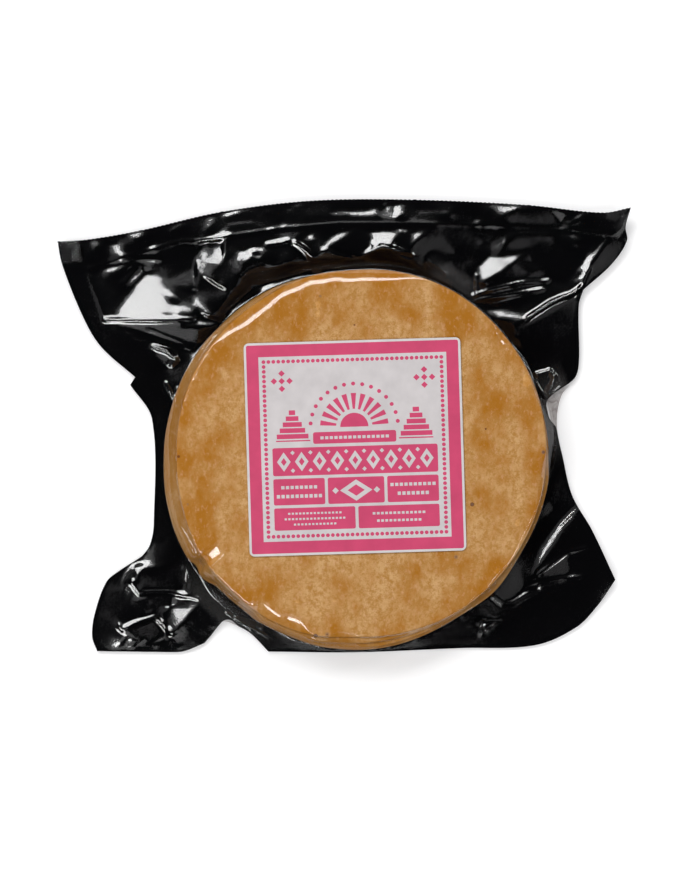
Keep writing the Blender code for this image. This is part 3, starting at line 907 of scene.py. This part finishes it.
def makeTortillas(material):
    random = np.random.default_rng(5)
    steps = tortillas["steps"]
    angles = np.arange(steps) * 2 * pi / steps
    radii = np.arange(0, 84, tortillas["radiusStep"])
    sectionRadii, sectionLevels = filmSection(angles)
    ceiling = np.array([np.interp(radii, sectionRadii[:, column], sectionLevels[:, column])
                        for column in range(steps)]) - tortillas["gap"]
    envelope = np.zeros(ceiling.shape)
    pitch = (pouchHigh.z - 2 * tortillas["gap"] - 0.2) / tortillas["count"]
    pieces = []
    for index in reversed(range(tortillas["count"])):
        rim = tortillaOutline(index, angles, random)
        flat = 0.15 + pitch * (index + 1)
        # the rim stops where the film would press it down too far
        room = ceiling > flat - tortillas["mostDroop"]
        reach = radii[np.maximum(room.sum(1) - 1, 0)]
        inset = stack["wallLean"] + 0.4
        if index < len(tortillas["lowestInside"]):
            inset = tortillas["lowestInside"][index]
        reach = np.minimum(reach, footRadius(angles) - inset)
        rim = np.minimum(rim, reach)
        top = np.minimum(flat, ceiling)

        def topHeight(radius, column, top=top):
            place = min(radius / tortillas["radiusStep"], len(radii) - 1.001)
            low = int(place)
            return top[column, low] * (low + 1 - place) + top[column, low + 1] * (place - low)

        pieces.append(makeTortilla(index, rim, topHeight, material))
        covered = radii[None, :] <= rim[:, None]
        envelope = np.where(covered, np.maximum(envelope, top), envelope)
        thickness = tortillas["thickness"] * rimTaper(radii[None, :] / rim[:, None])
        ceiling = np.where(covered, top - thickness - 0.005, ceiling)
    return pieces, envelope


dough = {
    "beige": (0.71, 0.422, 0.180, 1.0),
    "tan": (0.505, 0.243, 0.056, 1.0),
    "toasted": (0.46, 0.175, 0.010, 1.0),
    "pale": (0.78, 0.455, 0.25, 1.0),
    "husk": (0.15, 0.035, 0.010, 1.0),
    "ash": (0.20, 0.155, 0.13, 1.0),
    # painted shade for the stack's side and the rims under the top tortilla
    "paintedSideShade": (0.195, 0.100, 0.025, 1.0),
    # what varies the colours: waves per metre, detail and roughness of the noise
    "grain": (850.0, 4, 0.85),
    "blotches": (330.0, 4, 0.65),
    "patches": (78.0, 6, 0.62),
    "flour": (430.0, 4, 0.75),
    # between which values of it one colour takes over from another
    "beigeFrom": (0.715, 0.985),
    "toastedFrom": (1.06, 1.50),
    "paleFrom": (0.52, 0.70),
    "paleMost": 0.4,
    "rim": (0.0575, 0.0745, 0.17),  # the dough darkens towards the rim in the toasted colour, from here to here, this much
    "specks": 95.0,             # cells per metre
    # kinds of specks: what picks them, their size, how rare and how strong they are, colour
    "speckKinds": [("Red", 0.085, 0.80, 0.8, "husk"), ("Blue", 0.095, 0.90, 0.35, "ash")],
    "stretch": (1.0, 0.66, 1.0),    # the dough was rolled along Y: marks are longer that way
    "bump": (0.33, 0.0003),
}


def tortillaMaterial():
    material, tree, shader = newMaterial("bakedCornDough", (0.62, 0.33, 0.12, 1), 0.6)
    place = objectPlace(tree)
    rolled = addNode(tree, "ShaderNodeMapping", {"Vector": place, "Scale": dough["stretch"]})
    centre = (stack["centre"] + shift + (0, -6)) * mm
    centred = addNode(tree, "ShaderNodeMapping", {"Vector": place, "Scale": (1.0, 1.0, 0.0),
                                                  "Location": (-centre[0], -centre[1], 0.0)})
    away = addNode(tree, "ShaderNodeVectorMath", {0: centred.outputs["Vector"]},
                   operation="LENGTH").outputs["Value"]

    def noiseOf(name, where=rolled.outputs["Vector"]):
        scale, detail, roughness = dough[name]
        return addNoise(tree, where, scale, detail, Roughness=roughness)

    def between(value, low, high):
        values = {"Value": value, "From Min": low, "From Max": high}
        return addNode(tree, "ShaderNodeMapRange", values,
                       interpolation_type="SMOOTHSTEP").outputs["Result"]

    def blend(share, first, second):
        values = {0: share, 6: first, 7: second}
        return addNode(tree, "ShaderNodeMix", values, data_type="RGBA").outputs[2]

    grain, blotches = noiseOf("grain", place), noiseOf("blotches")
    mottle = addMaths(tree, "MULTIPLY_ADD", blotches, 0.7, grain)
    base = blend(between(mottle, *dough["beigeFrom"]), dough["tan"], dough["beige"])
    # toasted patches, and the dough darker towards the rim
    start, end, most = dough["rim"]
    patch = addMaths(tree, "MULTIPLY", between(away, start, end), most)
    for source, share in ((noiseOf("patches"), 1.5), (blotches, 0.42), (grain, 0.42)):
        patch = addMaths(tree, "MULTIPLY_ADD", source, share, patch)
    colour = blend(between(patch, *dough["toastedFrom"]), base, dough["toasted"])
    light = between(noiseOf("flour"), *dough["paleFrom"])
    light = addMaths(tree, "MULTIPLY", light, dough["paleMost"])
    colour = blend(light, colour, dough["pale"])

    # a few dark specks of husk, and greyer ones
    cells = addNode(tree, "ShaderNodeTexVoronoi", {"Vector": place, "Scale": dough["specks"]},
                    voronoi_dimensions="2D")
    pick = addNode(tree, "ShaderNodeSeparateColor", {"Color": cells.outputs["Color"]})
    for channel, reach, rare, strength, tint in dough["speckKinds"]:
        size = addMaths(tree, "MULTIPLY", pick.outputs[channel], reach)
        near = addMaths(tree, "LESS_THAN", cells.outputs["Distance"], size)
        chosen = addMaths(tree, "GREATER_THAN", pick.outputs["Green"], rare)
        share = addMaths(tree, "MULTIPLY", addMaths(tree, "MULTIPLY", near, chosen), strength)
        colour = blend(share, colour, dough[tint])
    # painted shade: the stack's side and the rims under the top tortilla are darkened
    colour = blend(markOf(tree, "side"), colour, dough["paintedSideShade"])
    normal = addBump(tree, addMaths(tree, "ADD", grain, blotches), *dough["bump"])
    setInputs(tree, shader, {"Base Color": colour, "Normal": normal, "Specular IOR Level": 0.15})
    return material


film = {
    # rings of the flat part over the top tortilla, as shares of its radius
    "topRings": [0, 0.3, 0.55, 0.7, 0.76, 0.81, 0.85, 0.88, 0.905, 0.93, 0.95, 0.965, 0.98, 0.99],
    "shoulderRings": 18,
    "wallRings": 5,
    "flangeRings": 62,
    "wobble": 0.35,             # the bend over the rim wavers by this much
    # pinched ridges in the clear film over the tortillas: their line, height, half width
    "ridges": [
        ([(-52.4, -57.2), (-50.6, -60.4), (-47.6, -63.6)], 0.12, 0.8),
        ([(62.0, 36.5), (64.5, 34.0)], 0.12, 1.2),
    ],
    "fillet": 0.4,              # the film bends out of the wall over this length
    "filletRise": 0.12,
    "overTortilla": 0.1,
    "blackBelow": 0.15,
    "baseRings": [0, 0.3, 0.6, 0.85, 1],    # as shares of the flat part's radius
    "baseLift": 0.02,
    "footRun": 4.4,             # the black film rises from the table over this length
    "footRings": 8,
    # where the black film stops short of the clear one: direction, spread, share left out
    "clearOnly": [(12.5, 5, 0.92), (232.5, 4, 0.3)],
    "drawnIn": 2.2,             # and is drawn in under the tent by this much
    # where the clear film is gathered into folds: direction, spread, from and to what
    # radius, and how much
    "gathers": [(11, 11, 79.5, 92, 0.85), (61, 7, 78.5, 87, 0.8), (230, 14, 80.5, 91, 0.7),
                (243, 14, 79, 84, 0.5)],
    # embossed weld bands, and how strongly each shows
    "welds": [([(-118, 76.6), (-109, 77), (-107.5, 68), (-116, 67)], 1.0),
              ([(-113, 63), (-105, 62), (-98.5, 45), (-106, 45)], 0.3),
              ([(86.5, 42), (94, 42), (93, 26), (87, 24)], 0.3),
              ([(87, -34), (96, -29), (100, -41), (91, -45)], 0.3)],
    "wafflePitch": 1.6,
    "waffle": 0.05,
    "waver": 0.035,
    "sheen": 0.085,
    "edgeSheen": 0.02,
    "clingDulls": 0.9,          # by this share, on the side of the stack
    "roughness": 0.12,
    "clear": (0.985, 0.985, 0.985),     # what a single layer lets through,
    "doubled": (0.36, 0.33, 0.32),      # and where it is gathered
}


def flangeShares():
    # the first ring is close to the foot, so that the film leaves the wall sharply
    rings = film["flangeRings"]
    return np.concatenate([[0.0, 0.2 / rings], np.arange(1, rings + 1) / rings])[:, None]


def flangePlaces(field, angles, shares, drawnIn=0):
    # places along each column from the film's foot to the edge, with the film's height
    foot = filmFoot(angles) - drawnIn
    footX, footY = placeAt(angles, foot)
    x = footX + shares * (edge[:, 0] - footX)
    y = footY + shares * (edge[:, 1] - footY)
    return x, y, flangeHeight(field, x, y), np.hypot(x - footX, y - footY)


def drapeHeights(envelope):
    # the film sags a little from each tortilla's rim to the next
    soft = envelope
    for axis, reach in ((1, 3), (0, 1)):
        soft = sum(np.roll(soft, step, axis) for step in range(-reach, reach + 1)) / (2 * reach + 1)
    return np.maximum(soft, envelope) + film["overTortilla"]


def makeClearFilm(field, angles, envelope, material):
    x, y, z, away = flangePlaces(field, angles, flangeShares())
    z = z + film["filletRise"] * np.clip(1 - away / film["fillet"], 0, 1) ** 2

    radii, levels = filmSection(angles)
    # the wall ends where the flange starts
    wall = np.clip((stack["leave"] + 6 - levels) / 6, 0, 1)
    levels = levels + (z[0] - stack["leave"]) * wall
    drape = drapeHeights(envelope)
    steps = envelope.shape[0]
    around = angles / (2 * pi) * steps % steps
    place = np.minimum(radii / tortillas["radiusStep"], envelope.shape[1] - 2)
    low = place.astype(int)
    under = 0
    for column, share in ((around.astype(int), 1 - around % 1),
                          (around.astype(int) + 1, around % 1)):
        column = column % steps
        under = under + share * (drape[column, low] * (low + 1 - place)
                                 + drape[column, low + 1] * (place - low))
    inside = radii < footRadius(angles) - stack["wallLean"] - 0.8
    levels = np.where(inside & (under > levels - 3), np.minimum(levels, under), levels)

    overX, overY = placeAt(angles, radii)
    levels = ridged(overX, overY, levels, film["ridges"] + pinches)
    over = np.stack([overX, overY, levels], -1)
    bm = sheetFromRings(np.concatenate([over, np.stack([x, y, z], -1)]))
    return makePiece(bm, "film_clear", material)


def makeBlackFilm(field, angles, material):
    # flat under the stack, up round the lowest rims, then out with the clear film
    missing = np.zeros_like(angles)
    for direction, spread, share in film["clearOnly"]:
        missing = np.maximum(missing, share * lobe(angles, direction, spread, 4))
    drawnIn = film["drawnIn"] * missing
    x, y, z, away = flangePlaces(field, angles, flangeShares() * (1 - missing), drawnIn)
    z = np.maximum(z - film["blackBelow"], film["baseLift"])

    inner = filmFoot(angles) - film["footRun"]
    radii = [inner * share for share in film["baseRings"]]
    levels = [np.full_like(angles, film["baseLift"]) for _ in film["baseRings"]]
    for step in range(1, film["footRings"]):
        share = step / film["footRings"]
        radii.append(inner + (film["footRun"] - drawnIn) * share)
        levels.append(film["baseLift"] + (z[0] - film["baseLift"]) * share ** 2 * (3 - 2 * share))
    under = np.stack([*placeAt(angles, np.array(radii)), levels], -1)
    bm = sheetFromRings(np.concatenate([under, np.stack([x, y, z], -1)]))
    return makePiece(bm, "film_black", material)


def weldShare(x, y):
    # how strongly the embossed weld bands along the pouch's sides show
    return np.max([insideOutline(x, y, np.array(band, float)) * strength
                   for band, strength in film["welds"]], axis=0)


def markFilm(piece):
    # how much the film is gathered upon itself, is welded and clings, from 0 to 1
    count = len(piece.data.vertices)
    places = np.empty(count * 3)
    piece.data.vertices.foreach_get("co", places)
    places = places.reshape(-1, 3) / mm
    x, y = places[:, 0] - shift[0], places[:, 1] - shift[1]
    angle, away = bearing(x, y)
    gathered = np.zeros(count)
    for direction, spread, inner, outer, amount in film["gathers"]:
        along = np.clip((away - inner) / 1.2, 0, 1) * np.clip((outer - away) / 2.5, 0, 1)
        gathered = np.maximum(gathered, amount * along * lobe(angle, direction, spread, 4))
    # on the side of the stack it clings and hardly shines
    clinging = np.clip((footRadius(angle) + 0.4 - away) / 0.6, 0, 1) * (1 - tentShare(angle)[0])
    clinging = clinging * np.clip((pouchHigh.z - 1.2 - places[:, 2]) / 2.5, 0, 1)
    for name, values in (("gathered", gathered), ("weld", weldShare(x, y)),
                         ("clinging", clinging)):
        piece.data.attributes.new(name, "FLOAT", "POINT").data.foreach_set("value", values)


def filmRelief(tree):
    # a slight waver all over, and the waffle of the welding bars
    place = objectPlace(tree)
    waver = addNoise(tree, place, 330.0, 2.0)
    axes = addNode(tree, "ShaderNodeSeparateXYZ", {"Vector": place})
    turns = 2 * pi / (film["wafflePitch"] * mm)
    waves = [addMaths(tree, "SINE", addMaths(tree, "MULTIPLY", axes.outputs[axis], turns))
             for axis in "XY"]
    waffle = addMaths(tree, "MULTIPLY", addMaths(tree, "MULTIPLY", *waves), markOf(tree, "weld"))
    waffle = addMaths(tree, "MULTIPLY", waffle, film["waffle"] / film["waver"])
    return addBump(tree, addMaths(tree, "ADD", waver, waffle), 1.0, film["waver"] * mm)


def clearFilmMaterial():
    material, tree, shader = newMaterial("clearFilm", (0.62, 0.60, 0.59, 1), 0.5)
    shader.inputs["Specular IOR Level"].default_value = 0.0
    relief = filmRelief(tree)

    # light goes through, less of it where the film is gathered into folds
    layers = addNoise(tree, objectPlace(tree), 260.0, 3.0, Distortion=1.5)
    layers = addMaths(tree, "MULTIPLY_ADD", layers, 1.3, 0.3)
    gathered = addMaths(tree, "MULTIPLY", markOf(tree, "gathered"), layers)
    tint = addRamp(tree, gathered, (0.0, film["clear"]), (1.0, film["doubled"]))
    clear = addNode(tree, "ShaderNodeBsdfTransparent", {"Color": tint})
    haze = mixShaders(tree, addMaths(tree, "MULTIPLY", gathered, 0.07), clear.outputs[0],
                      shader.outputs[0])

    # the sheen grows towards the edges of a curve
    facing = addNode(tree, "ShaderNodeLayerWeight", {"Blend": 0.5, "Normal": relief})
    rise = addMaths(tree, "POWER", facing.outputs["Facing"], 5.0)
    sheen = addMaths(tree, "MULTIPLY_ADD", rise, film["edgeSheen"], film["sheen"])
    dull = addMaths(tree, "MULTIPLY_ADD", markOf(tree, "clinging"), -film["clingDulls"], 1.0)
    sheen = addMaths(tree, "MULTIPLY", sheen, dull)
    gloss = addNode(tree, "ShaderNodeBsdfGlossy", {"Color": (1, 1, 1, 1), "Normal": relief,
                                                   "Roughness": film["roughness"]})
    surface = mixShaders(tree, sheen, haze, gloss.outputs[0])
    setInputs(tree, tree.nodes["Material Output"], {"Surface": surface})
    return material


def blackFilmMaterial():
    material, tree, shader = newMaterial("blackFilm", (0.002, 0.002, 0.0025, 1), 0.1)
    setInputs(tree, shader, {"IOR": 1.4, "Normal": filmRelief(tree)})
    return material


label = {
    "turn": 1.7,                # degrees
    "stretch": 1.017,           # across
    "ink": (0.62, 0.062, 0.155, 1.0),
    "paper": (0.66, 0.63, 0.627, 1.0),
    "white": (0.62, 0.582, 0.58, 1.0),     # printed white, duller than the bare paper
    "layer": 0.02,              # each printed layer's thickness
    "frame": 42.1,
    "field": 37.3,
    "dots": (35.3, 37, 0.76),   # half side of the row, dots on a side, dot radius
    "bars": [                   # left, low, right, high, corner
        (-32.8, -10.9, 32.8, 0.4, 0.8), (-32.8, -22.7, -12.4, -12.1, 0.7),
        (-11.2, -22.7, 11.2, -12.1, 0.7), (12.4, -22.7, 32.8, -12.1, 0.7),
        (-32.8, -32.9, -0.6, -23.9, 0.7), (0.6, -32.9, 32.8, -23.9, 0.7),
        (-16.5, 1.7, 16.5, 6.4, 0.8), (-31.2, 2.9, -17.6, 3.4, 0), (17.6, 2.9, 31.2, 3.4, 0),
    ],
    "pyramids": {"centres": (-24.6, 24.6), "foot": 4.0, "width": 12.6, "steps": 5, "rise": 1.9,
                 "gap": 0.5},
    "sun": {"centre": (0.0, 8.2), "radius": 5.6, "rays": 11, "ray": (7.2, 13.6), "ring": 17.4,
            "ringDots": 15},
    "flowers": [(-28.3, 27.4), (28.3, 27.4)],
    "petal": (3.1, 1.3),        # out from the middle, half size
    # how many, pitch, height on the label, half width, half height
    "lozengeRow": (9, 7.1, -5.25, 2.7, 3.9),
    "lozengeCore": 0.42,        # size of their inked centres, as a share
    "rowDots": (3.6, 0.9),      # how far above and below that row, half size
    # more lozenges: middle, half width and height
    "lozenges": [(0, -17.4, 6.4, 4.3), (-8.2, -17.4, 1.3, 1.3), (8.2, -17.4, 1.3, 1.3)],
    "lozengeCentre": (0, -17.4, 3.4, 2.3),
    # rows of short white dashes: middle, height, how many, dash length and thickness
    "dashes": [
        (0, 4.05, 15, 1.3, 1.2), (-22.6, -15.6, 8, 1.3, 1.3), (-22.6, -19.2, 10, 1.3, 1.4),
        (22.6, -15.6, 10, 1.3, 1.3), (22.6, -19.2, 7, 1.3, 1.4), (-16.7, -26.2, 15, 0.9, 0.8),
        (-16.7, -28.4, 17, 0.9, 0.8), (-16.7, -30.6, 12, 0.9, 0.8), (16.7, -27, 13, 1.1, 1.0),
        (16.7, -30, 11, 1.1, 1.0),
    ],
    "dashGap": 0.55,
}


def addBar(bm, left, low, right, high, corner=0.0):
    place = Matrix.Translation(((left + right) / 2, (low + high) / 2, 0))
    size = Matrix.Diagonal((right - left, high - low, 1, 1))
    made = bmesh.ops.create_grid(bm, x_segments=1, y_segments=1, size=0.5, matrix=place @ size)
    if corner:
        bmesh.ops.bevel(bm, geom=made["verts"], offset=corner, segments=4, profile=0.5,
                        affect="VERTICES", material=-1)


def addRound(bm, x, y, halfWidth, halfHeight, segments=16):
    # a dot, or with four segments a lozenge
    place = Matrix.Translation((x, y, 0)) @ Matrix.Diagonal((halfWidth, halfHeight, 1, 1))
    bmesh.ops.create_circle(bm, cap_ends=True, segments=segments, radius=1.0, matrix=place)


def addPatch(bm, outline):
    bm.faces.new([bm.verts.new((x, y, 0)) for x, y in outline])


def printLayer(bm, name, level, material):
    # gives flat shapes their thickness and lays them on the label
    thick = label["layer"]
    grown = bmesh.ops.extrude_face_region(bm, geom=bm.faces[:])
    top = [part for part in grown["geom"] if isinstance(part, bmesh.types.BMVert)]
    bmesh.ops.translate(bm, verts=top, vec=(0, 0, thick))
    bmesh.ops.recalc_face_normals(bm, faces=bm.faces)
    middle = (labelLow + labelHigh) / 2
    place = Matrix.Translation((middle.x, middle.y, labelHigh.z + level * thick))
    turn = Matrix.Rotation(radians(label["turn"]), 4, "Z")
    wide = Matrix.Scale(label["stretch"], 4, (1, 0, 0))
    bmesh.ops.transform(bm, verts=bm.verts, matrix=Matrix.Scale(mm, 4) @ place @ turn @ wide)
    return makePiece(bm, name, material, smooth=False)


def makeSquare(name, side, corner, level, material):
    bm = bmesh.new()
    addBar(bm, -side, -side, side, side, corner)
    return printLayer(bm, name, level, material)


def makeInkPrint(ink):
    bm = bmesh.new()
    side, count, radius = label["dots"]
    pitch = 2 * side / (count - 1)
    for index in range(count - 1):
        step = -side + index * pitch
        for x, y in ((step, side), (-step, -side), (side, -step), (-side, step)):
            addRound(bm, x, y, radius, radius)
    for bar in label["bars"]:
        addBar(bm, *bar)
    pyramid = label["pyramids"]
    for centre in pyramid["centres"]:
        for step in range(pyramid["steps"]):
            half = pyramid["width"] / 2 * (1 - step / pyramid["steps"])
            low = pyramid["foot"] + step * (pyramid["rise"] + pyramid["gap"])
            addBar(bm, centre - half, low, centre + half, low + pyramid["rise"])
    sun = label["sun"]
    sunX, sunY = sun["centre"]
    addPatch(bm, [(sunX + sun["radius"] * cos(pi * step / 24),
                   sunY + sun["radius"] * sin(pi * step / 24)) for step in range(25)])
    inner, outer = sun["ray"]
    for index in range(sun["rays"]):
        turn = pi * (index + 0.5) / sun["rays"]
        corners = [(inner, -0.45), (outer, -1.05), (outer, 1.05), (inner, 0.45)]
        addPatch(bm, [(sunX + out * cos(turn) - side * sin(turn),
                       sunY + out * sin(turn) + side * cos(turn)) for out, side in corners])
    for index in range(sun["ringDots"]):
        turn = pi * (index + 0.5) / sun["ringDots"]
        addRound(bm, sunX + sun["ring"] * cos(turn), sunY + sun["ring"] * sin(turn), 0.8, 0.8)
    # a small flower of lozenges in each upper corner
    out, half = label["petal"]
    for x, y in label["flowers"]:
        addRound(bm, x, y, half, half, 4)
        for turn in (0, pi / 2, pi, pi * 3 / 2):
            addRound(bm, x + out * cos(turn), y + out * sin(turn), half, half, 4)
    return printLayer(bm, "label_print", 2, ink)


def rowPlaces(count, pitch):
    return [(index - (count - 1) / 2) * pitch for index in range(count)]


def makeWhiteMarks(paper):
    bm = bmesh.new()
    count, pitch, middle, halfWidth, halfHeight = label["lozengeRow"]
    for x in rowPlaces(count, pitch):
        addRound(bm, x, middle, halfWidth, halfHeight, 4)
    out, half = label["rowDots"]
    for x in rowPlaces(count - 1, pitch):
        addRound(bm, x, middle + out, half, half, 4)
        addRound(bm, x, middle - out, half, half, 4)
    for lozenge in label["lozenges"]:
        addRound(bm, *lozenge, 4)
    for x, y, number, length, height in label["dashes"]:
        step = length + label["dashGap"]
        for index in range(number):
            left = x + (index - number / 2) * step + label["dashGap"] / 2
            addBar(bm, left, y - height / 2, left + length, y + height / 2)
    return printLayer(bm, "label_marks", 3, paper)


def makeInkCentres(ink):
    bm = bmesh.new()
    count, pitch, middle, halfWidth, halfHeight = label["lozengeRow"]
    share = label["lozengeCore"]
    for x in rowPlaces(count, pitch):
        addRound(bm, x, middle, halfWidth * share, halfHeight * share, 4)
    addRound(bm, *label["lozengeCentre"], 4)
    return printLayer(bm, "label_centres", 4, ink)


def paperMaterial(name, colour, roughness):
    # smooth coated paper, with a faint cloudiness from its fibres
    material, tree, shader = newMaterial(name, colour, roughness)
    place = objectPlace(tree)
    cloud = addNoise(tree, place, 160.0, 4.0)
    darker = tuple(channel * 0.93 for channel in colour[:3])
    lighter = tuple(min(1.0, channel * 1.06) for channel in colour[:3])
    fibres = addBump(tree, addNoise(tree, place, 2200.0, 2.0), 0.25, 0.00004)
    setInputs(tree, shader, {"Base Color": addRamp(tree, cloud, (0.3, darker), (0.7, lighter)),
                             "Normal": fibres, "Specular IOR Level": 0.3})
    return material


addCamera()
for lampName, lamp in lamps.items():
    addLamp(lampName, lamp)
addFloorAndSky()
print("studio ready")

field = makeHeightField()
print("film heights settled, from", round(field["z"].min(), 2), "to", round(field["z"].max(), 2))

layers, envelope = makeTortillas(tortillaMaterial())
for piece in layers:
    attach(piece, "root")
print("tortillas stacked")

columnAngles = footAngles()
clearFilm = makeClearFilm(field, columnAngles, envelope, clearFilmMaterial())
markFilm(clearFilm)
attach(clearFilm, "root")
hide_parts("pouch")
blackFilm = makeBlackFilm(field, columnAngles, blackFilmMaterial())
markFilm(blackFilm)
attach(blackFilm, "root")
print("films drawn over the stack")

inkMaterial = paperMaterial("pinkInk", label["ink"], 0.42)
whiteMaterial = paperMaterial("whiteInk", label["white"], 0.5)
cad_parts["label"].material_slots[0].material = paperMaterial("coatedPaper",
                                                                   label["paper"], 0.5)
for printed in (makeSquare("label_frame", label["frame"], 0.8, 0, inkMaterial),
                makeSquare("label_field", label["field"], 0, 1, whiteMaterial),
                makeInkPrint(inkMaterial), makeWhiteMarks(whiteMaterial),
                makeInkCentres(inkMaterial)):
    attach(printed, "root")
print("label printed")
